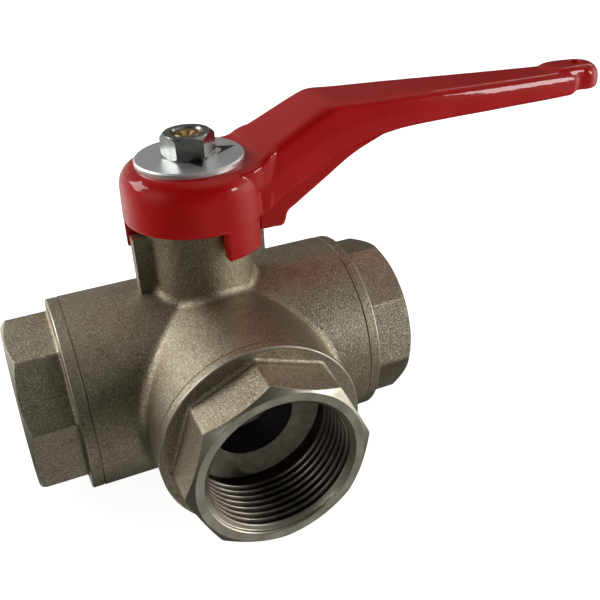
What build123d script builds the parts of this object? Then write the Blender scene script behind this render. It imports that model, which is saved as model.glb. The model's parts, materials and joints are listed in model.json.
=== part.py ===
from build123d import *
import math
import os

# Three way ball valve with an L-bored ball, three screwed-in G 1-1/4 end
# connectors and a cranked lever. Millimetres. The origin is the ball's centre,
# where the three port axes and the stem axis cross. +X is the right run port,
# -X the left run port, -Y the front branch port, +Z the stem.

# ---- driving dimensions -------------------------------------------------
PORT_LENGTH = 59.0            # ball centre to each end face
FLOW_R = 12.5                 # bore through seats, connectors and ball
THREAD_MINOR_R = 19.476       # G 1-1/4, ISO 228: minor diameter 38.952
THREAD_LENGTH = 18.5          # from the end face to the relief groove
BODY_R = 29.0                 # outside of the run and of the branch
BALL_R = 23.0
STEM_R = 7.0
RUNNING_FIT = 0.05            # radial clearance of a shaft in its hole

# end connector, measured along its own axis from the ball's centre
FLANGE_R = 28.9
FLANGE_START = 41.6
FLANGE_END = 45.2
OCTAGON_CORNER_R = 26.27
OCTAGON_FACE_R = 23.6         # circle left on the end face by the chamfer
OCTAGON_CHAMFER = 2.0
COUNTERSINK_R = 21.4
RELIEF_R = 21.2
RELIEF_LENGTH = 5.0
SCREWED_R = 26.0              # male thread of the connector, in the body
SCREWED_START = 27.0
NOSE_R = 20.5
NOSE_START = 21.0
SEAT_POCKET_END = 23.0
CORNER_ANGLE = {"right": 7.3, "left": 15.5, "front": 2.4}

# seats and joint rings
SEAT_R = 18.5
SEAT_BORE_R = 12.6
SEAT_FRONT = 17.0
REAR_POCKET_END = 20.0        # the blind rear pocket is shallower
JOINT_RING_START = 26.0

# neck, ribs and stem sealing, heights above the port axes
NECK_R = 15.0
NECK_TOP = 52.0
RIB_R = 19.4
RIB_HALF_THICKNESS = 2.3
RIB_TOP = 45.6
CAVITY_R = 24.5
COLLAR_R = 9.5
COLLAR_BOTTOM = 24.4
COLLAR_TOP = 27.15
WASHER_TOP = 28.2
PACKING_BOX_R = 10.5
PACKING_BOX_FLOOR = 41.0
PACKING_RING_HEIGHT = 2.0
GLAND_RING_HEIGHT = 1.5
GLAND_HEAD_HEIGHT = 3.6
GLAND_FLATS = 22.0
O_RING_HEIGHTS = {"lower": 32.0, "upper": 36.5}
O_RING_SECTION_R = 1.0
TANG_THICKNESS = 8.0
SLOT_FLOOR = 18.5
SLOT_CLEARANCE = 0.1

# lever
HUB_BOTTOM = 50.0
HUB_TOP = 65.3
HUB_BOTTOM_R = 20.4
HUB_TOP_R = 19.9
HUB_EDGE_R = 5.2
HUB_RECESS_R = 16.5
HUB_RECESS_TOP = 57.5
STEM_FLATS = 9.0
SQUARE_CLEARANCE = 0.02
LUG_BOTTOM = 41.5
LUG_R = 20.3
LUG_AZIMUTHS = {"clockwise": (-81.5, -45.0), "anticlockwise": (135.0, 171.5)}
HEEL_START = 19.9             # outside the stop rib's reach
HEEL_END = 24.4
HEEL_HALF_WIDTH = 8.5
HEEL_BOTTOM = 43.3
HEEL_WALL = 2.5
HEEL_WALL_START = 16.2
EYE_X = 134.2
EYE_R = 6.4
EYE_TOP = 74.5
EYE_BOTTOM = 66.7
EYE_EDGE_R = 3.0
EYE_HOLE_X = 132.4
EYE_HOLE_R = 1.6
EYE_NECK_HALF_WIDTH = 5.2
EYE_RAMP_START = 120.0
EYE_RAMP_END = 123.2

# indicator plate and nut
PLATE_R = 15.3
PLATE_THICKNESS = 1.5
NUT_FLATS = 13.0
NUT_HEIGHT = 6.5
NUT_THREAD_R = 4.0
NUT_TURN = 48.6
STEM_TOP = 72.9
STEM_CENTRE_R = 2.2           # centre drilling in the stem's end
STEM_CENTRE_DEPTH = 1.6

EPS = 0.01                    # overrun of a cut past a face

PLATE_TOP = HUB_TOP + PLATE_THICKNESS

# Each port's plane has its origin at the ball's centre and its normal along
# the port, so a height on it is the distance from the ball's centre.
PORT_PLANES = {
    "right": Plane(origin=(0, 0, 0), x_dir=(0, 1, 0), z_dir=(1, 0, 0)),
    "left": Plane(origin=(0, 0, 0), x_dir=(0, -1, 0), z_dir=(-1, 0, 0)),
    "front": Plane(origin=(0, 0, 0), x_dir=(1, 0, 0), z_dir=(0, -1, 0)),
}
REAR_PLANE = Plane(origin=(0, 0, 0), x_dir=(-1, 0, 0), z_dir=(0, 1, 0))

os.makedirs("parts", exist_ok=True)


def finish(piece, label):
    piece.label = label
    export_step(piece, f"parts/{label}.step")


def half_section(plane):
    """The plane in which a turned piece is drawn as (radius, height) points."""
    return Plane(origin=plane.origin, x_dir=plane.x_dir, z_dir=-plane.y_dir)


def make_turned(plane, points):
    """A turned piece about the plane's normal, from (radius, height) points."""
    with BuildPart() as turned:
        with BuildSketch(half_section(plane)):
            with BuildLine():
                Polyline(*points, close=True)
            make_face()
        revolve(axis=Axis(plane.origin, plane.z_dir))
    return turned.part


# ---- valve body -----------------------------------------------------------
def make_body():
    """Forged tee with a stem neck, two stop ribs and machined chambers."""
    with BuildPart() as body:
        with BuildSketch(PORT_PLANES["right"]):
            Circle(BODY_R)
        extrude(amount=FLANGE_START, both=True)
        with BuildSketch(PORT_PLANES["front"]):
            Circle(BODY_R - 0.2)
        extrude(amount=FLANGE_START)
        crotch = [e for e in body.edges() if e.geom_type not in (GeomType.LINE, GeomType.CIRCLE)]
        fillet(crotch, 3.5)
        with BuildSketch(Plane.XY.offset(BODY_R / 2)):
            Circle(NECK_R)
        extrude(amount=NECK_TOP - BODY_R / 2)
        root = [
            e for e in body.edges()
            if e.geom_type not in (GeomType.LINE, GeomType.CIRCLE)
            and e.bounding_box().max.Z - e.bounding_box().min.Z > 1.5
            and max(abs(e.bounding_box().max.X), abs(e.bounding_box().min.X)) < NECK_R + 1
            and e.bounding_box().min.Z > BODY_R / 2
        ]
        fillet(root, 2.5)
        with BuildSketch(Plane.XY.offset(BODY_R / 2)):
            Rectangle(2 * RIB_R, 2 * RIB_HALF_THICKNESS)
        extrude(amount=RIB_TOP - BODY_R / 2)
        # ball chamber and the connectors' bores
        Sphere(CAVITY_R, mode=Mode.SUBTRACT)
        for plane in PORT_PLANES.values():
            with BuildSketch(plane):
                Circle(NOSE_R)
            extrude(amount=JOINT_RING_START, mode=Mode.SUBTRACT)
            with BuildSketch(plane.offset(JOINT_RING_START)):
                Circle(SCREWED_R)
            extrude(amount=FLANGE_START - JOINT_RING_START + EPS, mode=Mode.SUBTRACT)
        with BuildSketch(REAR_PLANE):
            Circle(SEAT_R)
        extrude(amount=REAR_POCKET_END, mode=Mode.SUBTRACT)
        # stem bore, washer pocket and packing box
        with BuildSketch(Plane.XY):
            Circle(STEM_R + RUNNING_FIT)
        extrude(amount=NECK_TOP + EPS, mode=Mode.SUBTRACT)
        with BuildSketch(Plane.XY):
            Circle(COLLAR_R + 0.2)
        extrude(amount=WASHER_TOP, mode=Mode.SUBTRACT)
        with BuildSketch(Plane.XY.offset(PACKING_BOX_FLOOR)):
            Circle(PACKING_BOX_R)
        extrude(amount=NECK_TOP - PACKING_BOX_FLOOR + EPS, mode=Mode.SUBTRACT)
    return body.part


# ---- end connectors ---------------------------------------------------------
def make_connector(side):
    """Octagonal end connector: female pipe thread out, male thread in."""
    plane = PORT_PLANES[side]
    section = half_section(plane)
    chamfer_slope = OCTAGON_CHAMFER / (OCTAGON_CORNER_R - OCTAGON_FACE_R)
    outer_r = BODY_R + 2
    outer_drop = (outer_r - OCTAGON_FACE_R) * chamfer_slope
    with BuildPart() as connector:
        with BuildSketch(plane.offset(FLANGE_START)):
            RegularPolygon(OCTAGON_CORNER_R, 8, rotation=CORNER_ANGLE[side])
        extrude(amount=PORT_LENGTH - FLANGE_START)
        # the turned chamfer on the octagon's outer end
        with BuildSketch(section):
            with BuildLine():
                Polyline(
                    (OCTAGON_FACE_R, PORT_LENGTH),
                    (outer_r, PORT_LENGTH - outer_drop),
                    (outer_r, PORT_LENGTH + 1),
                    (OCTAGON_FACE_R, PORT_LENGTH + 1),
                    close=True,
                )
            make_face()
        revolve(axis=Axis(plane.origin, plane.z_dir), mode=Mode.SUBTRACT)
        # flange, male thread and nose
        with BuildSketch(section):
            with BuildLine():
                Polyline(
                    (0, NOSE_START),
                    (NOSE_R, NOSE_START),
                    (NOSE_R, SCREWED_START),
                    (SCREWED_R, SCREWED_START),
                    (SCREWED_R, FLANGE_START),
                    (FLANGE_R - 0.4, FLANGE_START),
                    (FLANGE_R, FLANGE_START + 0.4),
                    (FLANGE_R, FLANGE_END - 0.9),
                    (FLANGE_R - 0.9, FLANGE_END),
                    (0, FLANGE_END),
                    close=True,
                )
            make_face()
        revolve(axis=Axis(plane.origin, plane.z_dir))
        # bore: countersink, thread, relief, shoulder, flow bore, seat pocket
        with BuildSketch(section):
            with BuildLine():
                Polyline(
                    (0, PORT_LENGTH + EPS),
                    (COUNTERSINK_R, PORT_LENGTH + EPS),
                    (COUNTERSINK_R, PORT_LENGTH),
                    (THREAD_MINOR_R, PORT_LENGTH - (COUNTERSINK_R - THREAD_MINOR_R)),
                    (THREAD_MINOR_R, PORT_LENGTH - THREAD_LENGTH),
                    (RELIEF_R, PORT_LENGTH - THREAD_LENGTH),
                    (RELIEF_R, PORT_LENGTH - THREAD_LENGTH - RELIEF_LENGTH),
                    (FLOW_R, PORT_LENGTH - THREAD_LENGTH - RELIEF_LENGTH),
                    (FLOW_R, SEAT_POCKET_END),
                    (SEAT_R, SEAT_POCKET_END),
                    (SEAT_R, NOSE_START - EPS),
                    (0, NOSE_START - EPS),
                    close=True,
                )
            make_face()
        revolve(axis=Axis(plane.origin, plane.z_dir), mode=Mode.SUBTRACT)
    return connector.part


def make_joint_ring(plane):
    """Flat PTFE ring squeezed between the connector's shoulder and the body."""
    return make_turned(plane, [
        (NOSE_R, JOINT_RING_START),
        (SCREWED_R, JOINT_RING_START),
        (SCREWED_R, SCREWED_START),
        (NOSE_R, SCREWED_START),
    ])


def make_seat(plane, pocket_end):
    """PTFE seat whose inner face follows the ball's sphere."""
    sphere_r = BALL_R + RUNNING_FIT
    lip_r = math.sqrt(sphere_r**2 - SEAT_FRONT**2)
    bore_edge = math.sqrt(sphere_r**2 - SEAT_BORE_R**2)
    middle = (lip_r + SEAT_BORE_R) / 2
    with BuildPart() as seat:
        with BuildSketch(half_section(plane)):
            with BuildLine():
                ThreePointArc(
                    (SEAT_BORE_R, bore_edge),
                    (middle, math.sqrt(sphere_r**2 - middle**2)),
                    (lip_r, SEAT_FRONT),
                )
                Polyline(
                    (lip_r, SEAT_FRONT),
                    (SEAT_FRONT - 0.3, SEAT_FRONT),
                    (SEAT_R, SEAT_R + 0.3),
                    (SEAT_R, pocket_end),
                    (SEAT_BORE_R, pocket_end),
                    (SEAT_BORE_R, bore_edge),
                )
            make_face()
        revolve(axis=Axis(plane.origin, plane.z_dir))
    return seat.part


# ---- ball -------------------------------------------------------------------
def make_ball():
    """L-bored ball: open to the right and to the front, slotted on top."""
    with BuildPart() as ball:
        Sphere(BALL_R)
        Sphere(FLOW_R, mode=Mode.SUBTRACT)
        for side in ("right", "front"):
            with BuildSketch(PORT_PLANES[side]):
                Circle(FLOW_R)
            extrude(amount=BALL_R + 1, mode=Mode.SUBTRACT)
        with BuildSketch(Plane.XY.offset(SLOT_FLOOR)):
            Rectangle(2 * BALL_R, TANG_THICKNESS + 2 * SLOT_CLEARANCE)
        extrude(amount=BALL_R, mode=Mode.SUBTRACT)
    return ball.part


# ---- stem and its seals -----------------------------------------------------
def make_stem():
    """Blow-out proof stem: tang, collar, sealed shank, flats and M8 end."""
    groove_r = STEM_R - 2 * O_RING_SECTION_R
    with BuildPart() as stem:
        with BuildSketch(Plane.XY.offset(COLLAR_BOTTOM)):
            Circle(COLLAR_R)
        extrude(amount=COLLAR_TOP - COLLAR_BOTTOM)
        with BuildSketch(Plane.XY.offset(COLLAR_TOP)):
            Circle(STEM_R)
        extrude(amount=HUB_TOP - 0.4 - COLLAR_TOP)
        with BuildSketch(Plane.XY.offset(HUB_TOP - 0.4)):
            Circle(NUT_THREAD_R)
        extrude(amount=STEM_TOP - HUB_TOP + 0.4)
        chamfer(stem.faces().sort_by(Axis.Z)[-1].edges(), 0.8)
        with Locations((0, 0, STEM_TOP)):
            Cone(
                EPS, STEM_CENTRE_R, STEM_CENTRE_DEPTH,
                align=(Align.CENTER, Align.CENTER, Align.MAX), mode=Mode.SUBTRACT,
            )
        # square for the lever
        with BuildSketch(Plane.XY.offset(HUB_RECESS_TOP)):
            Circle(STEM_R + 1)
            Rectangle(STEM_FLATS, STEM_FLATS, mode=Mode.SUBTRACT)
        extrude(amount=HUB_TOP - HUB_RECESS_TOP, mode=Mode.SUBTRACT)
        for height in O_RING_HEIGHTS.values():
            with BuildSketch(Plane.XY.offset(height - O_RING_SECTION_R)):
                Circle(STEM_R + 1)
                Circle(groove_r, mode=Mode.SUBTRACT)
            extrude(amount=2 * O_RING_SECTION_R, mode=Mode.SUBTRACT)
        # tang in the ball's slot, kept inside the ball's sphere
        with BuildSketch(Plane.XY.offset(SLOT_FLOOR + 0.3)):
            Rectangle(2 * COLLAR_R - 3, TANG_THICKNESS)
        extrude(amount=COLLAR_BOTTOM - SLOT_FLOOR - 0.3)
    return stem.part


def make_o_ring(height):
    with BuildPart() as o_ring:
        with BuildSketch(Plane.XZ):
            with Locations((STEM_R - O_RING_SECTION_R, height)):
                Circle(O_RING_SECTION_R)
        revolve(axis=Axis.Z)
    return o_ring.part


def make_stem_ring(bottom, top, inner_r, outer_r):
    """Plain flat ring round the stem."""
    return make_turned(Plane.XY, [(inner_r, bottom), (outer_r, bottom), (outer_r, top), (inner_r, top)])


def make_gland_nut(bottom):
    """Threaded gland nut that presses on the packing, hexagon on top."""
    with BuildPart() as gland:
        with BuildSketch(Plane.XY.offset(bottom)):
            Circle(PACKING_BOX_R)
        extrude(amount=NECK_TOP - bottom)
        with BuildSketch(Plane.XY.offset(NECK_TOP)):
            RegularPolygon(GLAND_FLATS / 2, 6, major_radius=False)
        extrude(amount=GLAND_HEAD_HEIGHT)
        with BuildSketch(Plane.XY.offset(bottom)):
            Circle(STEM_R + RUNNING_FIT)
        extrude(amount=HUB_TOP - bottom, mode=Mode.SUBTRACT)
    return gland.part


# ---- lever ------------------------------------------------------------------
# Cross-sections of the arm: distance from the stem axis, half width, underside
# height and top height.
ARM_SECTIONS = [
    (14.0, 13.4, 50.5, 65.3),
    (15.8, 13.4, 50.5, 65.3),
    (18.3, 13.3, 50.8, 67.6),
    (23.0, 13.3, 54.0, 69.7),
    (36.4, 11.9, 59.6, 76.1),
    (40.0, 11.0, 61.0, 77.2),
    (46.5, 10.8, 63.4, 76.9),
    (56.0, 10.7, 65.4, 76.5),
    (66.0, 10.4, 66.2, 76.1),
    (100.0, 8.4, 65.7, 74.6),
    (128.5, 7.1, 65.2, 73.5),
]
# Underside of the narrower web below the arm's root: reach and height.
WEB_UNDERSIDE = [
    (HEEL_END, HEEL_BOTTOM),
    (HEEL_END + 0.6, 46.6),
    (28.0, 48.8),
    (36.4, 54.2),
    (46.5, 60.6),
    (56.0, 64.6),
]
ARM_TOP_BEVEL = 2.2
ARM_UNDER_BEVEL = 1.2


def make_arm():
    """Bevelled arm, drawn through its cross-sections."""
    with BuildPart() as arm:
        for reach, half_width, underside, top in ARM_SECTIONS:
            flat = half_width - ARM_TOP_BEVEL
            sole = half_width - ARM_UNDER_BEVEL
            with BuildSketch(Plane.YZ.offset(reach)):
                with BuildLine():
                    Polyline(
                        (-sole, underside),
                        (sole, underside),
                        (half_width, underside + ARM_UNDER_BEVEL),
                        (half_width, top - ARM_TOP_BEVEL),
                        (flat, top),
                        (-flat, top),
                        (-half_width, top - ARM_TOP_BEVEL),
                        (-half_width, underside + ARM_UNDER_BEVEL),
                        close=True,
                    )
                make_face()
        loft(ruled=True)
    return arm.part


def make_lug(start, end):
    """Stop lug below the hub, between two azimuths in degrees."""
    azimuth = math.radians(start)
    outward = (math.cos(azimuth), math.sin(azimuth), 0)
    across = (math.sin(azimuth), -math.cos(azimuth), 0)
    with BuildPart() as lug:
        with BuildSketch(Plane(origin=(0, 0, 0), x_dir=outward, z_dir=across)):
            with BuildLine():
                Polyline(
                    (HUB_RECESS_R, LUG_BOTTOM),
                    (LUG_R, LUG_BOTTOM),
                    (LUG_R, HUB_BOTTOM + 1),
                    (HUB_RECESS_R, HUB_BOTTOM + 1),
                    close=True,
                )
            make_face()
        revolve(axis=Axis.Z, revolution_arc=end - start)
    return lug.part


def make_web():
    """Web below the arm that ends in the heel, with one wall towards the lug."""
    with BuildPart() as web:
        with BuildSketch(Plane.XZ):
            with BuildLine():
                Polyline(
                    (HEEL_START, HEEL_BOTTOM),
                    *WEB_UNDERSIDE,
                    (HEEL_START, WEB_UNDERSIDE[-1][1]),
                    close=True,
                )
            make_face()
        extrude(amount=HEEL_HALF_WIDTH, both=True)
        with BuildSketch(Plane.XY.offset(HEEL_BOTTOM)):
            with Locations((HEEL_WALL_START, -HEEL_HALF_WIDTH)):
                Rectangle(HEEL_END - HEEL_WALL_START, HEEL_WALL, align=(Align.MIN, Align.MIN))
        extrude(amount=HUB_BOTTOM + 4 - HEEL_BOTTOM)
    return web.part


def make_eye():
    """Round boss with a domed edge, and the ramp that leads up to it."""
    with BuildPart() as eye:
        with BuildSketch(Plane.XY.offset(EYE_BOTTOM)):
            with Locations((EYE_X, 0)):
                Circle(EYE_R)
        extrude(amount=EYE_TOP - EYE_BOTTOM)
        fillet(eye.faces().sort_by(Axis.Z)[-1].edges(), EYE_EDGE_R)
        with BuildSketch(Plane.XZ):
            with BuildLine():
                Polyline(
                    (EYE_RAMP_START, EYE_BOTTOM),
                    (EYE_RAMP_START, ARM_SECTIONS[-1][3]),
                    (EYE_RAMP_END, EYE_TOP),
                    (EYE_X, EYE_TOP),
                    (EYE_X, EYE_BOTTOM),
                    close=True,
                )
            make_face()
        extrude(amount=EYE_NECK_HALF_WIDTH, both=True)
    return eye.part


def make_handle():
    """Die-cast cranked lever: hub cup, stop lugs, arm with a knee, hang eye."""
    arm = make_arm()
    web = make_web()
    eye = make_eye()
    lugs = [make_lug(*span) for span in LUG_AZIMUTHS.values()]
    with BuildPart() as handle:
        # hub, slightly wider at its foot, with a large top radius
        with BuildSketch(Plane.XZ):
            with BuildLine():
                Polyline(
                    (0, HUB_BOTTOM),
                    (HUB_BOTTOM_R, HUB_BOTTOM),
                    (HUB_TOP_R, HUB_TOP),
                    (0, HUB_TOP),
                    close=True,
                )
            make_face()
        revolve(axis=Axis.Z)
        fillet(handle.faces().sort_by(Axis.Z)[-1].edges(), HUB_EDGE_R)
        add(arm)
        add(web)
        add(eye)
        add(lugs)
        # recess round the gland nut, square for the stem, and the eye's hole
        with BuildSketch(Plane.XY.offset(HUB_BOTTOM)):
            Circle(HUB_RECESS_R)
        extrude(amount=HUB_RECESS_TOP - HUB_BOTTOM, mode=Mode.SUBTRACT)
        with BuildSketch(Plane.XY.offset(HUB_RECESS_TOP)):
            Rectangle(STEM_FLATS + 2 * SQUARE_CLEARANCE, STEM_FLATS + 2 * SQUARE_CLEARANCE)
        extrude(amount=HUB_TOP - HUB_RECESS_TOP, mode=Mode.SUBTRACT)
        with BuildSketch(Plane.XY.offset(EYE_BOTTOM - 1)):
            with Locations((EYE_HOLE_X, 0)):
                Circle(EYE_HOLE_R)
        extrude(amount=EYE_TOP - EYE_BOTTOM + 2, mode=Mode.SUBTRACT)
    return handle.part


def make_indicator_plate():
    """Round plate on the hub, with a round hole for the threaded end."""
    with BuildPart() as plate:
        with BuildSketch(Plane.XY.offset(HUB_TOP)):
            Circle(PLATE_R)
            Circle(NUT_THREAD_R + 0.2, mode=Mode.SUBTRACT)
        extrude(amount=PLATE_THICKNESS)
        rims = plate.edges().filter_by(GeomType.CIRCLE).sort_by(SortBy.RADIUS)[-2:]
        chamfer(rims.sort_by(Axis.Z)[-1], 0.4)
    return plate.part


def make_handle_nut():
    """M8 hexagon nut, chamfered at both ends."""
    corner_r = NUT_FLATS / math.sqrt(3)
    with BuildPart() as nut:
        with BuildSketch(Plane.XY.offset(PLATE_TOP)):
            RegularPolygon(NUT_FLATS / 2, 6, major_radius=False, rotation=NUT_TURN)
        extrude(amount=NUT_HEIGHT)
        with BuildSketch(Plane.XZ):
            with BuildLine():
                Polyline(
                    (0, PLATE_TOP),
                    (NUT_FLATS / 2 - 0.1, PLATE_TOP),
                    (corner_r + 0.2, PLATE_TOP + 1.1),
                    (corner_r + 0.2, PLATE_TOP + NUT_HEIGHT - 1.1),
                    (NUT_FLATS / 2 - 0.1, PLATE_TOP + NUT_HEIGHT),
                    (0, PLATE_TOP + NUT_HEIGHT),
                    close=True,
                )
            make_face()
        revolve(axis=Axis.Z, mode=Mode.INTERSECT)
        with BuildSketch(Plane.XY.offset(PLATE_TOP)):
            Circle(NUT_THREAD_R)
        extrude(amount=NUT_HEIGHT, mode=Mode.SUBTRACT)
        bore_rims = nut.edges().filter_by(GeomType.CIRCLE)
        chamfer(bore_rims.filter_by(lambda e: abs(e.radius - NUT_THREAD_R) < EPS), 0.5)
    return nut.part


# ---- assembly ---------------------------------------------------------------
finish(make_body(), "valve_body")
finish(make_ball(), "ball")
for side, port_plane in PORT_PLANES.items():
    finish(make_connector(side), f"{side}_connector")
    finish(make_joint_ring(port_plane), f"{side}_joint_ring")
    finish(make_seat(port_plane, SEAT_POCKET_END), f"{side}_seat")
finish(make_seat(REAR_PLANE, REAR_POCKET_END), "rear_seat")

finish(make_stem(), "stem")
washer_bottom = COLLAR_TOP + RUNNING_FIT
thrust_washer = make_stem_ring(washer_bottom, WASHER_TOP, STEM_R + RUNNING_FIT, COLLAR_R)
finish(thrust_washer, "thrust_washer")
for place, ring_height in O_RING_HEIGHTS.items():
    finish(make_o_ring(ring_height), f"stem_o_ring_{place}")
stack = PACKING_BOX_FLOOR
for place in ("lower", "middle", "upper"):
    packing = make_stem_ring(stack, stack + PACKING_RING_HEIGHT, STEM_R + RUNNING_FIT, PACKING_BOX_R)
    finish(packing, f"packing_ring_{place}")
    stack += PACKING_RING_HEIGHT
gland_ring = make_stem_ring(stack, stack + GLAND_RING_HEIGHT, STEM_R + RUNNING_FIT, PACKING_BOX_R)
finish(gland_ring, "gland_ring")
finish(make_gland_nut(stack + GLAND_RING_HEIGHT), "gland_nut")

finish(make_handle(), "handle")
finish(make_indicator_plate(), "indicator_plate")
finish(make_handle_nut(), "handle_nut")
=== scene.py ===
import json
import math
from functools import partial

import bmesh
import bpy
from mathutils import Matrix, Vector


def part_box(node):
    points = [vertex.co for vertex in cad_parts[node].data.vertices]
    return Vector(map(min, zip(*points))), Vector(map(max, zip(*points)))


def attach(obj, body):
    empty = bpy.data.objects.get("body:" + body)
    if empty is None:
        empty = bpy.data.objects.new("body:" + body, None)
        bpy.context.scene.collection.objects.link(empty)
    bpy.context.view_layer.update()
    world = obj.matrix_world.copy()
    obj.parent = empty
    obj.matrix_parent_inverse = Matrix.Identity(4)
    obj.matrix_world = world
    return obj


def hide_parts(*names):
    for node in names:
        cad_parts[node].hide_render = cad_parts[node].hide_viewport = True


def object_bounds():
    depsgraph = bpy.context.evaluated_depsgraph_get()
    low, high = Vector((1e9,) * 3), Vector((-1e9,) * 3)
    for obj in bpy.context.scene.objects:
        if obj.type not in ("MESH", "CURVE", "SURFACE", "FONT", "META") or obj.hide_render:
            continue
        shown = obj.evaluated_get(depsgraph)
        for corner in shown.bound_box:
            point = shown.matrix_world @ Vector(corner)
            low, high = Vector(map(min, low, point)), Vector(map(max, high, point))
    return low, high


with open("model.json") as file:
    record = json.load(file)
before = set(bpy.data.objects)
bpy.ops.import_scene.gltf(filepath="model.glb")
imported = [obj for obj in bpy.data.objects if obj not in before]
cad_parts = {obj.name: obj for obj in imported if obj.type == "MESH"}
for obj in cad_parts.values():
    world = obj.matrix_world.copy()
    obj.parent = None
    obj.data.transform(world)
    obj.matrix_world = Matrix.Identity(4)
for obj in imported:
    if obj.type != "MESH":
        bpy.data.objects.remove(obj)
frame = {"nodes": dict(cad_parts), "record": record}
cad_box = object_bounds()

MM = 0.001

# ---- sizes shared with the CAD model, millimetres ---------------------------
PORT_LENGTH = 59.0
FLOW_R = 12.5
THREAD_MINOR_R = 19.476
THREAD_MAJOR_R = 20.955
THREAD_PITCH = 2.309
THREAD_LENGTH = 18.5
COUNTERSINK_R = 21.4
RELIEF_R = 21.2
RELIEF_LENGTH = 5.0
FLANGE_R = 28.9
FLANGE_START = 41.6
FLANGE_END = 45.2
OCTAGON_CORNER_R = 26.27
OCTAGON_FACE_R = 23.6
OCTAGON_CHAMFER = 2.0
SCREWED_R = 26.0
SCREWED_START = 27.0
NOSE_R = 20.5
NOSE_START = 21.0
SEAT_R = 18.5
SEAT_POCKET_END = 23.0
ROOT_FILLET_R = 1.1
SEAM_R = 28.3
SEAM_END = 41.9
# how far each connector stops turned about its port's axis, degrees
CORNER_ANGLE = {"right": 7.3, "left": 15.5, "front": 2.4}

# ---- sizes of the finer details, millimetres --------------------------------
MOUTH_LIP = 0.3
RIM_EDGE = 0.6
BELLY_R = 6.0
# what the smoothing of the cast lever takes off its edges
SMOOTHING_LOSS = 0.3

# form of the thread: the crest's and flank's shares of half a pitch, and how
# much of the flank's run is eased rather than straight
CREST_SHARE = 0.16
FLANK_SHARE = 0.68
FLANK_ROUNDING = 0.35

# ---- fineness of the meshes -------------------------------------------------
# a multiple of eight, so that the octagon's corners are all drawn alike
CONNECTOR_SAMPLES = 8 * 40
CORNER_POINTS = 5
WELD_METRES = 1e-7

# finishes of a connector's stretches, by material slot
FACED, FORGED, THREADED, BORED, DULL = range(5)


# ---- node helpers -----------------------------------------------------------
def feed(tree, socket, value):
    """Link a node's output to a socket, or set a constant on it."""
    if hasattr(value, "is_output"):
        tree.links.new(value, socket)
    else:
        socket.default_value = value


class Shade:
    """A material's node tree, with short calls for the nodes used here."""

    def __init__(self, name, **constants):
        self.material = bpy.data.materials.new(name)
        self.material.use_nodes = True
        self.tree = self.material.node_tree
        self.shader = self.tree.nodes["Principled BSDF"]
        for socket, value in constants.items():
            self.shader.inputs[socket.replace("_", " ")].default_value = value
        self.place = self.tree.nodes.new("ShaderNodeTexCoord").outputs["Object"]

    def node(self, kind, inputs=None, **settings):
        """A new node with its settings made and its inputs fed."""
        made = self.tree.nodes.new(kind)
        for name, value in settings.items():
            setattr(made, name, value)
        for key, value in (inputs or {}).items():
            feed(self.tree, made.inputs[key], value)
        return made

    def stretched(self, scale):
        """The object's own coordinates, scaled along each axis."""
        return self.node("ShaderNodeMapping", {"Vector": self.place, "Scale": scale}).outputs["Vector"]

    def noise(self, feature_mm, detail=2.0, roughness=0.5, vector=None):
        """Noise with features of about this size."""
        inputs = {
            "Vector": vector or self.place,
            "Scale": 1 / (feature_mm * MM),
            "Detail": detail,
            "Roughness": roughness,
        }
        return self.node("ShaderNodeTexNoise", inputs).outputs["Fac"]

    def spots(self, spacing_mm):
        """Distance to the nearest of many scattered points."""
        inputs = {"Vector": self.place, "Scale": 1 / (spacing_mm * MM)}
        return self.node("ShaderNodeTexVoronoi", inputs).outputs["Distance"]

    def radius_from_axis(self):
        """Distance from the object's own Z axis, in metres."""
        flat = self.node("ShaderNodeVectorMath", {0: self.place, 1: (1, 1, 0)}, operation="MULTIPLY")
        length = self.node("ShaderNodeVectorMath", {0: flat.outputs["Vector"]}, operation="LENGTH")
        return length.outputs["Value"]

    def turning_marks(self, feature_mm):
        """Fine rings about the object's Z axis, as a lathe leaves them."""
        height = self.node("ShaderNodeSeparateXYZ", {"Vector": self.place}).outputs["Z"]
        section = self.node("ShaderNodeCombineXYZ", {"X": self.radius_from_axis(), "Z": height})
        return self.noise(feature_mm, detail=1.0, vector=section.outputs["Vector"])

    def ramp(self, value, low, high, to_low=0.0, to_high=1.0):
        """A value's range from low to high, mapped to another range."""
        inputs = {"Value": value, "From Min": low, "From Max": high, "To Min": to_low, "To Max": to_high}
        return self.node("ShaderNodeMapRange", inputs).outputs["Result"]

    def mix(self, factor, first, second):
        """A blend of two colours, each a constant or a node's output."""
        made = self.node("ShaderNodeMix", {"Factor": factor}, data_type="RGBA")
        for slot, value in (("A_Color", first), ("B_Color", second)):
            socket = next(s for s in made.inputs if s.identifier == slot)
            feed(self.tree, socket, (*value, 1.0) if isinstance(value, tuple) else value)
        return next(s for s in made.outputs if s.identifier == "Result_Color")

    def bump(self, height, strength, depth_mm, after=None):
        """A normal for this relief, on top of another one if given."""
        inputs = {"Height": height, "Strength": strength, "Distance": depth_mm * MM}
        if after is not None:
            inputs["Normal"] = after
        return self.node("ShaderNodeBump", inputs).outputs["Normal"]

    def wire(self, **links):
        """Link outputs to the shader's sockets, and give the material."""
        for socket, value in links.items():
            self.tree.links.new(value, self.shader.inputs[socket.replace("_", " ")])
        return self.material


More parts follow.
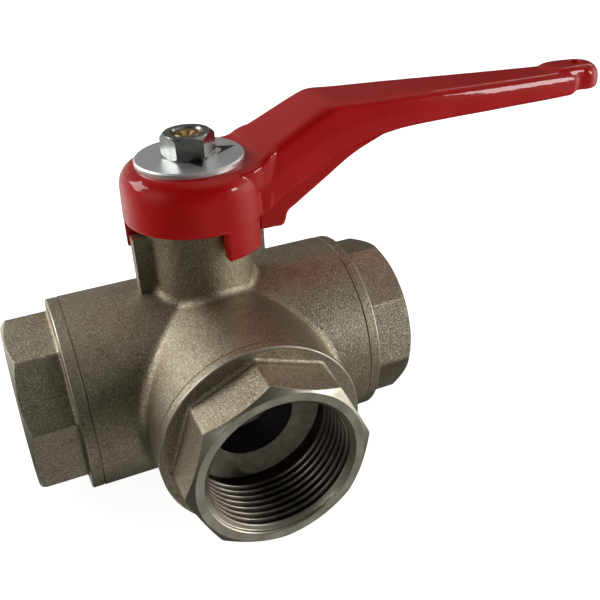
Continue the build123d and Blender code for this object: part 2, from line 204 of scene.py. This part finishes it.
# ---- materials --------------------------------------------------------------
def blasted_nickel():
    """Nickel plating over shot-blasted brass: grainy, warm grey, faintly stained."""
    s = Shade("blasted_nickel", Metallic=1.0)
    grain = s.noise(0.48, detail=4.0, roughness=0.7)
    pits = s.spots(0.9)
    mottle = s.noise(2.2, detail=3.0, roughness=0.6)
    stain = s.noise(16.0, detail=4.0, roughness=0.6)
    tint = s.noise(45.0, detail=2.0)
    clean = s.mix(s.ramp(tint, 0.35, 0.65), (0.41, 0.36, 0.25), (0.37, 0.335, 0.24))
    stained = s.mix(s.ramp(stain, 0.48, 0.72), clean, (0.31, 0.235, 0.15))
    mottled = s.mix(s.ramp(mottle, 0.50, 0.75), stained, (0.27, 0.225, 0.155))
    speckled = s.mix(s.ramp(grain, 0.48, 0.70), mottled, (0.80, 0.75, 0.62))
    rough = s.ramp(grain, 0.3, 0.7, 0.48, 0.36)
    coarse = s.bump(pits, 0.5, 0.10)
    fine = s.bump(grain, 0.9, 0.18, coarse)
    return s.wire(Base_Color=speckled, Roughness=rough, Normal=fine)


def turned_nickel():
    """Machined and plated faces: turning marks, cloudy, slightly pink, nicked."""
    s = Shade("turned_nickel", Metallic=1.0)
    rings = s.turning_marks(0.28)
    cloud = s.noise(6.0, detail=4.0, roughness=0.6)
    nicks = s.noise(1.1, detail=5.0, roughness=0.75)
    tint = s.mix(s.ramp(cloud, 0.35, 0.7), (0.60, 0.565, 0.485), (0.43, 0.395, 0.31))
    nicked = s.mix(s.ramp(nicks, 0.64, 0.70), tint, (0.13, 0.11, 0.09))
    rough = s.ramp(cloud, 0.3, 0.7, 0.30, 0.46)
    hollows = s.bump(nicks, 0.25, 0.05)
    marks = s.bump(rings, 0.55, 0.05, hollows)
    return s.wire(Base_Color=nicked, Roughness=rough, Normal=marks)


def turned_thread():
    """Cut thread: the crests in the plain metal tint, the grooves near black with painted shade."""
    s = Shade("turned_thread", Metallic=1.0)
    radius = s.radius_from_axis()
    wear = s.noise(3.0, detail=4.0, roughness=0.6)
    crest = s.ramp(radius, THREAD_MAJOR_R * MM, (THREAD_MINOR_R + 0.35) * MM)
    tint = s.mix(s.ramp(wear, 0.3, 0.7), (0.26, 0.23, 0.19), (0.36, 0.32, 0.27))
    # painted shade: out towards the thread's root the grooves go near black
    groove_shaded = s.mix(crest, (0.05, 0.04, 0.032), tint)
    return s.wire(Base_Color=groove_shaded, Roughness=s.ramp(wear, 0.3, 0.7, 0.28, 0.42))


def shoulder_painted_lit():
    """Rough-turned shoulder at the bottom of the thread, dull, its near-white colour painted light."""
    s = Shade("shoulder_painted_lit", Metallic=1.0)
    cloud = s.noise(2.5, detail=4.0)
    # painted light: the near-white colour stands in for light reaching the shoulder deep in the port
    tint = s.mix(s.ramp(cloud, 0.35, 0.65), (0.92, 0.86, 0.76), (0.78, 0.72, 0.62))
    marks = s.bump(s.turning_marks(0.4), 0.8, 0.12)
    return s.wire(Base_Color=tint, Roughness=s.ramp(cloud, 0.3, 0.7, 0.85, 0.95), Normal=marks)


def bore_painted_shade():
    """Inside of the flow bore: dull, and painted near black as the shade deep inside it."""
    s = Shade("bore_painted_shade", Metallic=1.0)
    cloud = s.noise(5.0, detail=3.0)
    # painted shade: the near-black colour stands for the shade inside the bore
    tint = s.mix(s.ramp(cloud, 0.3, 0.7), (0.07, 0.062, 0.052), (0.12, 0.105, 0.09))
    return s.wire(Base_Color=tint, Roughness=s.ramp(cloud, 0.3, 0.7, 0.4, 0.55))


def red_enamel():
    """Glossy red enamel on a die-cast lever: orange peel, dull dust, scuffs."""
    s = Shade("red_enamel", Metallic=0.0, Specular_IOR_Level=0.05, Coat_Weight=0.7, Coat_Roughness=0.04)
    peel = s.noise(2.6, detail=2.0)
    waves = s.noise(14.0, detail=1.0)
    dust = s.noise(5.0, detail=6.0, roughness=0.7)
    scuff = s.noise(0.9, detail=4.0, roughness=0.7, vector=s.stretched((0.25, 1.0, 1.0)))
    red = s.mix(s.ramp(waves, 0.3, 0.7), (0.53, 0.005, 0.006), (0.59, 0.007, 0.009))
    dusty = s.mix(s.ramp(dust, 0.62, 0.80, 0.0, 0.20), red, (0.45, 0.03, 0.03))
    marked = s.mix(s.ramp(scuff, 0.70, 0.74, 0.0, 0.55), dusty, (0.22, 0.01, 0.01))
    rough = s.ramp(dust, 0.45, 0.75, 0.22, 0.40)
    wavy = s.bump(waves, 0.25, 0.35)
    skin = s.bump(peel, 0.22, 0.08, wavy)
    return s.wire(Base_Color=marked, Roughness=rough, Normal=skin)


def rolled_aluminium():
    """Smooth rolled aluminium sheet with faint draw lines."""
    s = Shade("rolled_aluminium", Metallic=1.0)
    lines = s.noise(0.5, detail=3.0, vector=s.stretched((0.08, 1.0, 1.0)))
    cloud = s.noise(6.0, detail=3.0)
    tint = s.mix(s.ramp(cloud, 0.3, 0.7), (0.94, 0.95, 0.96), (0.86, 0.87, 0.89))
    rough = s.ramp(lines, 0.3, 0.7, 0.38, 0.48)
    return s.wire(Base_Color=tint, Roughness=rough, Normal=s.bump(lines, 0.08, 0.02))


def zinc_plating():
    """Bright zinc on a steel nut, cool with a slight green cast."""
    s = Shade("zinc_plating", Metallic=1.0)
    cloud = s.noise(2.2, detail=4.0, roughness=0.6)
    grain = s.noise(0.3, detail=2.0)
    tint = s.mix(s.ramp(cloud, 0.3, 0.7), (0.42, 0.44, 0.41), (0.28, 0.30, 0.28))
    rough = s.ramp(cloud, 0.3, 0.7, 0.16, 0.30)
    return s.wire(Base_Color=tint, Roughness=rough, Normal=s.bump(grain, 0.15, 0.02))


def turned_brass():
    """Bare turned brass of the stem: bright, with darker cloudy patches."""
    s = Shade("turned_brass", Metallic=1.0)
    cloud = s.noise(2.0, detail=4.0)
    rings = s.noise(0.4, detail=2.0)
    tint = s.mix(s.ramp(cloud, 0.35, 0.7), (0.62, 0.42, 0.16), (0.32, 0.20, 0.07))
    rough = s.ramp(rings, 0.3, 0.7, 0.20, 0.34)
    return s.wire(Base_Color=tint, Roughness=rough, Normal=s.bump(rings, 0.2, 0.03))


def chromed():
    """Chromed ball with a slight haze."""
    s = Shade("chromed", Metallic=1.0)
    haze = s.noise(6.0, detail=4.0)
    tint = s.mix(s.ramp(haze, 0.3, 0.7), (0.60, 0.61, 0.63), (0.50, 0.51, 0.53))
    return s.wire(Base_Color=tint, Roughness=s.ramp(haze, 0.3, 0.7, 0.08, 0.16))


def ptfe():
    """White, waxy PTFE of the seats and washers."""
    s = Shade("ptfe", Metallic=0.0, IOR=1.38, Subsurface_Weight=0.1, Subsurface_Scale=0.002)
    haze = s.noise(4.0, detail=3.0)
    tint = s.mix(s.ramp(haze, 0.3, 0.7), (0.80, 0.80, 0.77), (0.72, 0.72, 0.68))
    return s.wire(Base_Color=tint, Roughness=s.ramp(haze, 0.3, 0.7, 0.42, 0.55))


def nitrile():
    """Black rubber of the O-rings."""
    s = Shade("nitrile", Metallic=0.0, IOR=1.52)
    haze = s.noise(1.5, detail=3.0)
    tint = s.mix(s.ramp(haze, 0.3, 0.7), (0.018, 0.018, 0.018), (0.035, 0.034, 0.032))
    return s.wire(Base_Color=tint, Roughness=s.ramp(haze, 0.3, 0.7, 0.45, 0.65))


def printing_ink():
    """Black ink of the arrowheads on the plate."""
    s = Shade("printing_ink", Metallic=0.0)
    haze = s.noise(1.0, detail=3.0)
    tint = s.mix(s.ramp(haze, 0.3, 0.7), (0.006, 0.006, 0.006), (0.018, 0.017, 0.016))
    return s.wire(Base_Color=tint, Roughness=s.ramp(haze, 0.3, 0.7, 0.35, 0.5))


BLASTED = blasted_nickel()
TURNED = turned_nickel()
TURNED_THREAD = turned_thread()
SHOULDER = shoulder_painted_lit()
BORE = bore_painted_shade()
ENAMEL = red_enamel()
ALUMINIUM = rolled_aluminium()
ZINC = zinc_plating()
BRASS = turned_brass()
CHROME = chromed()
PTFE = ptfe()
NITRILE = nitrile()
INK = printing_ink()

SLOT_MATERIAL = {
    "nickel_brass": BLASTED,
    "machined_nickel_brass": TURNED,
    "chromed_ball": CHROME,
    "bare_brass": BRASS,
    "white_ptfe": PTFE,
    "black_rubber": NITRILE,
    "red_paint": ENAMEL,
    "satin_aluminium": ALUMINIUM,
    "zinc_steel": ZINC,
}
for subpart in frame["record"]["subparts"]:
    finished = frame["nodes"][subpart["node"]]
    finished.data.materials.clear()
    finished.data.materials.append(SLOT_MATERIAL[subpart["material_slot"]])


# ---- mesh helpers -----------------------------------------------------------
def rounded(corners):
    """A closed outline of (x, y, radius, finish) corners, each one rounded off.

    Gives (point, finish) pairs; a finish holds from its corner to the next.
    """
    outline = []
    count = len(corners)
    for i, (x, y, radius, finish) in enumerate(corners):
        here = Vector((x, y))
        if radius == 0:
            outline.extend([(here, finish)] * CORNER_POINTS)
            continue
        back = (Vector(corners[i - 1][:2]) - here).normalized()
        ahead = (Vector(corners[(i + 1) % count][:2]) - here).normalized()
        half = back.angle(ahead) / 2
        setback = radius / math.tan(half)
        centre = here + (back + ahead).normalized() * radius / math.sin(half)
        start = here + back * setback - centre
        turn = start.angle_signed(here + ahead * setback - centre)
        for k in range(CORNER_POINTS):
            swing = Matrix.Rotation(-turn * k / (CORNER_POINTS - 1), 2)
            outline.append((centre + swing @ start, finish))
    return outline


def make_object(name, bm, material):
    """A smooth-shaded object in the scene, from a mesh that is used up."""
    bmesh.ops.remove_doubles(bm, verts=bm.verts, dist=WELD_METRES)
    bmesh.ops.recalc_face_normals(bm, faces=bm.faces)
    mesh = bpy.data.meshes.new(name)
    bm.to_mesh(mesh)
    bm.free()
    mesh.shade_smooth()
    made = bpy.data.objects.new(name, mesh)
    made.data.materials.append(material)
    bpy.context.scene.collection.objects.link(made)
    return made


def turned_rings(rows_at, samples):
    """A closed tube of quads: rows_at(angle) gives (radius, height, finish) rows."""
    bm = bmesh.new()
    finishes = [finish for _, _, finish in rows_at(0)]
    columns = []
    for i in range(samples):
        angle = 2 * math.pi * i / samples
        direction = Vector((math.cos(angle), math.sin(angle), 0))
        columns.append([
            bm.verts.new((direction * radius + Vector((0, 0, height))) * MM)
            for radius, height, _ in rows_at(angle)
        ])
    for i in range(samples):
        here, after = columns[i - 1], columns[i]
        for k in range(len(here)):
            face = bm.faces.new((here[k - 1], here[k], after[k], after[k - 1]))
            face.material_index = finishes[k - 1]
    return bm


# ---- end connectors ---------------------------------------------------------
def octagon_radius(angle, corner_round=1.0):
    """Distance to the octagon's side, with its eight corners rounded."""
    half = math.radians(22.5)
    off = abs((angle + half) % (2 * half) - half)
    apothem = OCTAGON_CORNER_R * math.cos(half)
    centre = (apothem - corner_round) / math.cos(half)
    tangent_point = math.atan2(corner_round * math.sin(half), centre + corner_round * math.cos(half))
    if off > tangent_point:
        return apothem / math.cos(half - off)
    return centre * math.cos(off) + math.sqrt(corner_round**2 - (centre * math.sin(off)) ** 2)


def thread_radius(height, angle):
    """Rounded 55 degree pipe thread, cut by a helix."""
    turns = height / THREAD_PITCH - angle / (2 * math.pi)
    saw = abs((turns % 1.0) * 2 - 1)
    flank = min(max((saw - CREST_SHARE) / FLANK_SHARE, 0.0), 1.0)
    eased = flank * flank * (3 - 2 * flank)
    form = eased * FLANK_ROUNDING + flank * (1 - FLANK_ROUNDING)
    return THREAD_MAJOR_R - (THREAD_MAJOR_R - THREAD_MINOR_R) * form


def thread_rows(angle, rows_per_turn=14):
    """Rows from the relief to the mouth, where the countersink cuts the thread."""
    bottom = PORT_LENGTH - THREAD_LENGTH
    top = PORT_LENGTH - MOUTH_LIP
    cone_foot = PORT_LENGTH - (COUNTERSINK_R - THREAD_MINOR_R)
    count = round((top - bottom) / THREAD_PITCH * rows_per_turn)
    rows = []
    for k in range(count + 1):
        height = bottom + (top - bottom) * k / count
        cone = COUNTERSINK_R - (PORT_LENGTH - height)
        finish = THREADED if height < cone_foot else FACED
        rows.append((max(thread_radius(height, angle), cone), height, finish))
    return rows


def connector_rows(angle, turned):
    """The connector's outline at one angle, and the finish of each stretch."""
    side = octagon_radius(angle - turned)
    slope = OCTAGON_CHAMFER / (OCTAGON_CORNER_R - OCTAGON_FACE_R)
    brow = PORT_LENGTH - (side - OCTAGON_FACE_R) * slope
    relief_end = PORT_LENGTH - THREAD_LENGTH
    shoulder = relief_end - RELIEF_LENGTH
    outline = rounded([
        (OCTAGON_FACE_R, PORT_LENGTH, 0.3, FACED),
        (side, brow, 0.3, FORGED),
        (side, FLANGE_END, ROOT_FILLET_R, FORGED),
        (FLANGE_R, FLANGE_END, 0.5, FACED),
        (FLANGE_R, FLANGE_END - RIM_EDGE, 0, FORGED),
        (FLANGE_R, SEAM_END, 0.2, FACED),
        (SEAM_R, SEAM_END, 0.05, FACED),
        (SEAM_R, FLANGE_START, 0.1, FACED),
        (SCREWED_R, FLANGE_START, 0.2, FACED),
        (SCREWED_R, SCREWED_START, 0.3, FACED),
        (NOSE_R, SCREWED_START, 0.2, FACED),
        (NOSE_R, NOSE_START, 0.2, FACED),
        (SEAT_R, NOSE_START, 0.2, FACED),
        (SEAT_R, SEAT_POCKET_END, 0.1, FACED),
        (FLOW_R, SEAT_POCKET_END, 0.3, BORED),
        (FLOW_R, shoulder, 0.4, DULL),
        (RELIEF_R, shoulder, 0.3, THREADED),
        (RELIEF_R, relief_end, 0.1, THREADED),
        (COUNTERSINK_R, PORT_LENGTH, 0, FACED),
    ])
    rows = [(point.x, point.y, finish) for point, finish in outline]
    return rows[:-CORNER_POINTS] + thread_rows(angle) + [(COUNTERSINK_R, PORT_LENGTH, FACED)]


# each port's frame: the columns are its plane's x, y and outward axes
PORT_FRAMES = {
    "right": Matrix(((0, 0, 1), (1, 0, 0), (0, 1, 0))),
    "left": Matrix(((0, 0, -1), (-1, 0, 0), (0, 1, 0))),
    "front": Matrix(((1, 0, 0), (0, 0, -1), (0, 1, 0))),
}


def make_connectors():
    """The three end connectors, each with its helical thread."""
    for side, port_frame in PORT_FRAMES.items():
        turned = math.radians(CORNER_ANGLE[side])
        bm = turned_rings(partial(connector_rows, turned=turned), CONNECTOR_SAMPLES)
        piece = make_object(f"{side}_end_connector", bm, TURNED)
        for extra in (BLASTED, TURNED_THREAD, BORE, SHOULDER):
            piece.data.materials.append(extra)
        shading = piece.modifiers.new("even shading", "WEIGHTED_NORMAL")
        shading.weight = 60
        piece.matrix_world = port_frame.to_4x4()
        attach(piece, "housing")
        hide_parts(f"{side}_connector")


make_connectors()


# ---- lever ------------------------------------------------------------------
HUB_BOTTOM = 50.0
HUB_TOP = 65.3
HUB_BOTTOM_R = 20.4
HUB_TOP_R = 19.9
HUB_EDGE_R = 5.2
HUB_RECESS_R = 16.5
HUB_RECESS_TOP = 57.5
STEM_HALF_SQUARE = 4.55
LUG_BOTTOM = 41.5
LUG_R = 20.3
LUG_AZIMUTHS = ((-81.5, -45.0), (135.0, 171.5))
HEEL_START = 19.9
HEEL_END = 24.4
HEEL_HALF_WIDTH = 8.5
HEEL_BOTTOM = 43.3
HEEL_WALL = 2.5
HEEL_WALL_START = 16.2
EYE_X = 134.2
EYE_R = 6.4
EYE_TOP = 74.5
EYE_BOTTOM = 66.7
EYE_HOLE_X = 132.4
EYE_HOLE_R = 1.6
EYE_DOME_R = 2.4
EYE_PAD_LENGTH = 13.2
EYE_PAD_HALF_WIDTH = 5.8
# sections of the lever: distance from the stem axis, half width, underside, top
ARM_SECTIONS = [
    (17.0, 13.8, 50.5, 66.7),
    (18.3, 13.6, 50.8, 67.5),
    (23.0, 13.2, 54.0, 69.7),
    (36.4, 11.9, 59.6, 76.1),
    (40.0, 11.6, 61.0, 77.2),
    (46.5, 11.2, 63.4, 76.9),
    (56.0, 10.8, 65.4, 76.5),
    (66.0, 10.3, 66.2, 76.1),
    (100.0, 8.4, 65.7, 74.6),
    (127.5, 6.8, 65.3, 73.5),
    (129.2, 6.4, 65.7, 73.2),
    (130.8, 5.0, 66.9, 72.4),
]
# the arm's root over the hub, flared to run into its side
ROOT_SECTIONS = [
    (9.0, 16.2, 58.5, 65.0),
    (13.0, 15.4, 58.5, 65.2),
    (16.0, 14.3, 58.5, 66.0),
    (18.3, 13.6, 58.5, 67.5),
    (21.0, 12.6, 58.5, 68.7),
]
# the web below the arm
WEB_SECTIONS = [
    (HEEL_START, HEEL_HALF_WIDTH, HEEL_BOTTOM, 58.0),
    (HEEL_END - 0.4, HEEL_HALF_WIDTH, HEEL_BOTTOM, 60.0),
    (HEEL_END + 0.6, HEEL_HALF_WIDTH, 46.6, 60.0),
    (28.0, HEEL_HALF_WIDTH, 48.8, 64.0),
    (36.4, HEEL_HALF_WIDTH, 54.2, 68.0),
    (46.5, HEEL_HALF_WIDTH, 60.6, 70.0),
    (56.0, HEEL_HALF_WIDTH, 64.6, 70.0),
    (62.0, HEEL_HALF_WIDTH - 1, 66.4, 70.0),
]

# the heel's wall towards the front, and the flanks that run the arm into the hub
WALL_SECTIONS = [
    (HEEL_WALL_START, HEEL_WALL / 2, HEEL_BOTTOM, 58.0),
    (HEEL_END - 2, HEEL_WALL / 2, HEEL_BOTTOM, 58.0),
]
FLANK_SECTIONS = [
    (14.2, 1.6, 50.6, 60.0),
    (18.5, 1.6, 51.2, 60.0),
]
FLANK_OFFSET = 11.9


def between(sections, reach):
    """Smoothly interpolated section of the lever at a distance from its axis."""
    i = next(k for k in range(1, len(sections)) if reach <= sections[k][0] + 1e-9)
    before, after = sections[i - 1], sections[i]
    first = sections[max(i - 2, 0)]
    last = sections[min(i + 1, len(sections) - 1)]
    span = after[0] - before[0]
    t = (reach - before[0]) / span
    values = []
    for column in range(1, len(before)):
        step = after[column] - before[column]
        slope_in = (after[column] - first[column]) / (after[0] - first[0]) * span
        slope_out = (last[column] - before[column]) / (last[0] - before[0]) * span
        value = before[column] + step * t * t * (3 - 2 * t)
        value += slope_in * t * (1 - t) ** 2 - slope_out * t * t * (1 - t)
        values.append(value)
    return values


def lofted(bm, sections, top_radius, under_radius, spacing=1.0, bulge=0.0, offset=0.0):
    """Closed bar along X through (reach, half width, underside, top) sections.

    With a bulge its sides lean in above and below their middle.
    """
    belly_radius = BELLY_R if bulge else 0.0
    start, end = sections[0][0], sections[-1][0]
    count = max(2, round((end - start) / spacing))
    loops = []
    for k in range(count + 1):
        reach = start + (end - start) * k / count
        half_width, underside, top = between(sections, reach)
        middle = (underside + top) / 2
        outline = rounded([
            (-half_width + bulge, underside, under_radius, 0),
            (half_width - bulge, underside, under_radius, 0),
            (half_width, middle, belly_radius, 0),
            (half_width - bulge, top, top_radius, 0),
            (-half_width + bulge, top, top_radius, 0),
            (-half_width, middle, belly_radius, 0),
        ])
        loops.append([
            bm.verts.new(Vector((reach, point.x + offset, point.y)) * MM)
            for point, _ in outline
        ])
    for before, after in zip(loops, loops[1:]):
        for i in range(len(before)):
            bm.faces.new((before[i - 1], before[i], after[i], after[i - 1]))
    bm.faces.new(loops[0])
    bm.faces.new(reversed(loops[-1]))


def revolved(bm, rows_at, start=0.0, end=360.0, centre=(0.0, 0.0), samples=128):
    """Closed solid turned about a vertical axis, from one azimuth to another."""
    whole = end - start == 360.0
    steps = samples if whole else max(8, round(samples * (end - start) / 360))
    columns = []
    for i in range(steps + (0 if whole else 1)):
        angle = math.radians(start + (end - start) * i / steps)
        columns.append([
            bm.verts.new(Vector((
                centre[0] + radius * math.cos(angle),
                centre[1] + radius * math.sin(angle),
                height,
            )) * MM)
            for radius, height in rows_at(angle)
        ])
    pairs = list(zip(columns, columns[1:]))
    if whole:
        pairs.append((columns[-1], columns[0]))
    else:
        bm.faces.new(columns[0])
        bm.faces.new(reversed(columns[-1]))
    for before, after in pairs:
        for k in range(len(before)):
            bm.faces.new((before[k - 1], before[k], after[k], after[k - 1]))


def points_only(corners):
    """A rounded outline without its finishes."""
    return [(point.x, point.y) for point, _ in rounded(corners)]


def hub_rows(angle):
    """The hub's cup, with a square hole for the stem."""
    off_square = abs((angle + math.pi / 4) % (math.pi / 2) - math.pi / 4)
    hole = STEM_HALF_SQUARE / math.cos(off_square)
    return points_only([
        (HUB_RECESS_R, HUB_BOTTOM, 0.5, 0),
        (HUB_BOTTOM_R, HUB_BOTTOM, 0.8, 0),
        (HUB_TOP_R, HUB_TOP, HUB_EDGE_R, 0),
        (hole, HUB_TOP, 0, 0),
        (hole, HUB_RECESS_TOP, 0, 0),
        (HUB_RECESS_R, HUB_RECESS_TOP, 0.5, 0),
    ])


def lug_rows(angle):
    """A stop lug below the hub's rim, the same at every angle."""
    return points_only([
        (HUB_RECESS_R, LUG_BOTTOM, 0.6, 0),
        (LUG_R, LUG_BOTTOM, 0.6, 0),
        (LUG_R, HUB_BOTTOM + 2, 0, 0),
        (HUB_RECESS_R, HUB_BOTTOM + 2, 0, 0),
    ])


def eye_rows(angle):
    """Domed boss with a pad towards the grip, drawn about its off-centre hole."""
    offset = EYE_X - EYE_HOLE_X
    boss = offset * math.cos(angle) + math.sqrt(EYE_R**2 - (offset * math.sin(angle)) ** 2)
    along = math.cos(angle) / EYE_PAD_LENGTH
    across = math.sin(angle) / EYE_PAD_HALF_WIDTH
    pad = (along**4 + across**4) ** -0.25
    outer = max(boss, pad) if math.cos(angle) < 0 else boss
    wanted_dome = EYE_DOME_R * (1 + max(math.cos(angle) + 0.3, 0.0))
    dome = min(wanted_dome, (outer - EYE_HOLE_R) * 0.75)
    hole = EYE_HOLE_R + SMOOTHING_LOSS
    top = EYE_TOP + SMOOTHING_LOSS
    return points_only([
        (hole, EYE_BOTTOM, 0, 0),
        (outer, EYE_BOTTOM, 1.0, 0),
        (outer, top, dome, 0),
        (hole, top, 0, 0),
    ])


def make_lever():
    """The cast lever: its solids fused, and every edge and corner run round."""
    bm = bmesh.new()
    revolved(bm, hub_rows)
    for start, end in LUG_AZIMUTHS:
        revolved(bm, lug_rows, start, end)
    lofted(bm, ARM_SECTIONS, 2.6, 2.0, bulge=1.0)
    lofted(bm, ROOT_SECTIONS, 1.6, 0.5, spacing=0.5)
    lofted(bm, WEB_SECTIONS, 1.0, 1.6, spacing=0.4)
    lofted(bm, WALL_SECTIONS, 0.3, 0.8, offset=HEEL_WALL / 2 - HEEL_HALF_WIDTH)
    for side in (-1, 1):
        lofted(bm, FLANK_SECTIONS, 0.5, 0.5, offset=side * FLANK_OFFSET)
    revolved(bm, eye_rows, centre=(EYE_HOLE_X, 0), samples=72)
    bmesh.ops.recalc_face_normals(bm, faces=bm.faces)
    mesh = bpy.data.meshes.new("lever_solids")
    bm.to_mesh(mesh)
    bm.free()
    lever = bpy.data.objects.new("cast_lever", mesh)
    bpy.context.scene.collection.objects.link(lever)
    fuse = lever.modifiers.new("fuse the solids", "REMESH")
    fuse.mode = "VOXEL"
    fuse.voxel_size = 0.4 * MM
    smooth = lever.modifiers.new("run edges round", "SMOOTH")
    smooth.factor = 0.5
    smooth.iterations = 7
    evaluated = lever.evaluated_get(bpy.context.evaluated_depsgraph_get())
    lever.data = bpy.data.meshes.new_from_object(evaluated)
    lever.modifiers.clear()
    lever.data.shade_smooth()
    lever.data.materials.append(ENAMEL)
    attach(lever, "lever")
    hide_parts("handle")


make_lever()


# ---- indicator arrowheads ---------------------------------------------------
# (outward, across) corners of the two printed arrowheads
SOLID_ARROW = [(6.3, -2.1), (11.7, 0.0), (6.3, 2.1)]
SWEPT_ARROW = [(6.2, -4.4), (9.0, -2.6), (13.5, 0.4), (6.2, 3.6), (9.4, 0.4), (8.6, -1.8)]


def make_arrowheads():
    """Printed arrowheads on the plate, towards the two open ports."""
    plate_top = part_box("indicator_plate")[1].z
    ink_thickness = 0.03 * MM
    arrows = (("arrowhead_right", 0, SWEPT_ARROW), ("arrowhead_front", -90, SOLID_ARROW))
    for name, heading, outline in arrows:
        bm = bmesh.new()
        corners = [bm.verts.new((x * MM, y * MM, plate_top)) for x, y in outline]
        face = bm.faces.new(corners)
        grown = bmesh.ops.extrude_face_region(bm, geom=[face])
        raised = [v for v in grown["geom"] if isinstance(v, bmesh.types.BMVert)]
        bmesh.ops.translate(bm, verts=raised, vec=(0, 0, ink_thickness))
        arrow = make_object(name, bm, INK)
        arrow.data.shade_flat()
        arrow.matrix_world = Matrix.Rotation(math.radians(heading), 4, "Z")
        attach(arrow, "lever")


make_arrowheads()


# ---- floor, light and camera ------------------------------------------------
FLOOR_GAP = 0.05
# brightness of the floor itself: as it lights other things, and as it is seen
FLOOR_GLOW = 0.20
FLOOR_SEEN_GLOW = 0.90


def make_floor():
    """A plain pale floor just below the valve."""
    floor_z = cad_box[0].z - FLOOR_GAP * MM
    bm = bmesh.new()
    bmesh.ops.create_grid(bm, x_segments=1, y_segments=1, size=3.0)
    bmesh.ops.translate(bm, verts=bm.verts, vec=(0, 0, floor_z))
    s = Shade("pale_floor", Roughness=0.7, Emission_Color=(1, 1, 1, 1))
    white = s.mix(s.noise(300.0), (0.90, 0.90, 0.89), (0.86, 0.86, 0.86))
    seen = s.node("ShaderNodeLightPath").outputs["Is Camera Ray"]
    glow = s.ramp(seen, 0, 1, FLOOR_GLOW, FLOOR_SEEN_GLOW)
    paper = s.wire(Base_Color=white, Emission_Strength=glow)
    floor = make_object("floor", bm, paper)
    floor.visible_glossy = False


# soft boxes: name, direction, distance and size in metres, power in watts
SOFT_BOXES = [
    ("left_box", (-0.66, 0.48, 0.58), 0.75, (0.40, 0.32), 2.1),
    ("right_box", (0.72, 0.25, 0.55), 0.85, (0.14, 0.40), 0.35),
    ("front_box", (0.78, -0.62, 0.26), 0.90, (0.17, 0.25), 1.50),
]


def make_light(name, direction, distance, size, watts):
    """A soft box that faces the valve from a direction."""
    data = bpy.data.lights.new(name, "AREA")
    data.shape = "RECTANGLE"
    data.size, data.size_y = size
    data.energy = watts
    lamp = bpy.data.objects.new(name, data)
    place = Vector(direction).normalized() * distance
    lamp.location = place
    lamp.rotation_euler = (-place).to_track_quat("-Z", "Y").to_euler()
    bpy.context.scene.collection.objects.link(lamp)


def make_port_spot():
    """A narrow spotlight into the front port, so that its shoulder is seen."""
    data = bpy.data.lights.new("port_spot", "SPOT")
    data.energy = 0.65
    data.spot_size = math.radians(6.0)
    data.spot_blend = 0.5
    data.shadow_soft_size = 0.02
    lamp = bpy.data.objects.new("port_spot", data)
    aim = Vector((3, -45, -4)) * MM
    place = aim + Vector((-0.42, -0.86, 0.20)).normalized() * 0.45
    lamp.location = place
    lamp.rotation_euler = (aim - place).to_track_quat("-Z", "Y").to_euler()
    bpy.context.scene.collection.objects.link(lamp)


AMBIENT = 0.015
# patches of the studio's walls: direction, sharpness of the patch, brightness
WALL_PATCHES = [
    ((0.10, 0.65, 0.75), 6.0, 0.27),
    ((0.42, 0.00, 0.92), 10.0, 0.58),
    ((0.10, -0.60, -0.80), 6.0, 0.43),
    ((0.25, -0.95, -0.20), 10.0, 0.09),
    ((-0.95, -0.10, 0.30), 10.0, 0.85),
    ((-0.50, 0.80, -0.20), 6.0, 1.00),
    ((0.97, -0.25, 0.00), 10.0, 1.90),
]


def make_surroundings():
    """Dark studio with a few bright patches of wall, so that metal shows bands."""
    world = bpy.data.worlds.new("studio")
    world.use_nodes = True
    tree = world.node_tree
    nodes, links = tree.nodes, tree.links
    background = nodes["Background"]
    direction = nodes.new("ShaderNodeTexCoord").outputs["Generated"]

    def compute(operation, first, second, kind="ShaderNodeMath"):
        made = nodes.new(kind)
        made.operation = operation
        for socket, value in zip(made.inputs, (first, second)):
            feed(tree, socket, value)
        return made.outputs["Value"]

    brightness = AMBIENT
    for aim, sharpness, strength in WALL_PATCHES:
        toward = compute("DOT_PRODUCT", direction, Vector(aim).normalized(), "ShaderNodeVectorMath")
        lit = compute("POWER", compute("MAXIMUM", toward, 0.0), sharpness)
        brightness = compute("ADD", compute("MULTIPLY", lit, strength), brightness)
    links.new(brightness, background.inputs["Strength"])
    background.inputs["Color"].default_value = (1.0, 0.98, 0.93, 1.0)
    # the camera itself sees a pale backdrop above the floor's edge
    backdrop = nodes.new("ShaderNodeBackground")
    backdrop.inputs["Strength"].default_value = 1.0
    choose = nodes.new("ShaderNodeMixShader")
    links.new(nodes.new("ShaderNodeLightPath").outputs["Is Camera Ray"], choose.inputs["Fac"])
    links.new(background.outputs["Background"], choose.inputs[1])
    links.new(backdrop.outputs["Background"], choose.inputs[2])
    links.new(choose.outputs["Shader"], nodes["World Output"].inputs["Surface"])
    bpy.context.scene.world = world


CAMERA_PLACE = Vector((-51.68, -200.94, 140.56)) * MM
# about Z, then X, then Z again, degrees
CAMERA_TURNS = ((-23.335, "Z"), (59.534, "X"), (-2.128, "Z"))


def make_camera():
    """The camera, in front of the valve, to its left and above."""
    data = bpy.data.cameras.new("camera")
    data.sensor_width = 36.0
    data.lens = 46.67
    data.shift_x = -0.0187
    data.shift_y = -0.0064
    data.clip_start = 0.01
    camera = bpy.data.objects.new("camera", data)
    turn = Matrix.Identity(3)
    for degrees, axis in CAMERA_TURNS:
        turn = turn @ Matrix.Rotation(math.radians(degrees), 3, axis)
    camera.matrix_world = Matrix.Translation(CAMERA_PLACE) @ turn.to_4x4()
    bpy.context.scene.collection.objects.link(camera)
    bpy.context.scene.camera = camera


make_floor()
for soft_box in SOFT_BOXES:
    make_light(*soft_box)
make_port_spot()
make_surroundings()
make_camera()
bpy.context.scene.view_settings.view_transform = "Standard"
